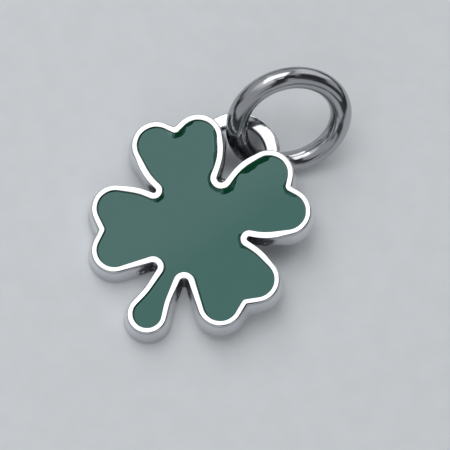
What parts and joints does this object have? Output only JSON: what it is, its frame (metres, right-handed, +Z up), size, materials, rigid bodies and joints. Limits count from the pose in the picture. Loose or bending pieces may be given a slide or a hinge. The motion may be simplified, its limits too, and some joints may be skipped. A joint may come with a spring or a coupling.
{
  "type": "clover pendant",
  "caption": "Clover-leaf pendant with a stem, a green enamel face in a raised metal rim, a flat round eye at its top and a jump ring to hang it from a chain.",
  "frame": {"origin": "on the floor, under the middle of the resting pendant's bounding box", "axes": "+Z up from the floor; +Y from the stem's end to the jump ring; +X to the clover's right, seen from its face"},
  "size_m": [0.0097, 0.0144, 0.0052],
  "materials": {
    "polished_metal": "polished",
    "green_enamel": "gloss"
  },
  "bodies": {
    "root": {"clover_frame": "polished_metal", "enamel": "green_enamel", "jump_ring": "polished_metal"}
  },
  "joints": []
}
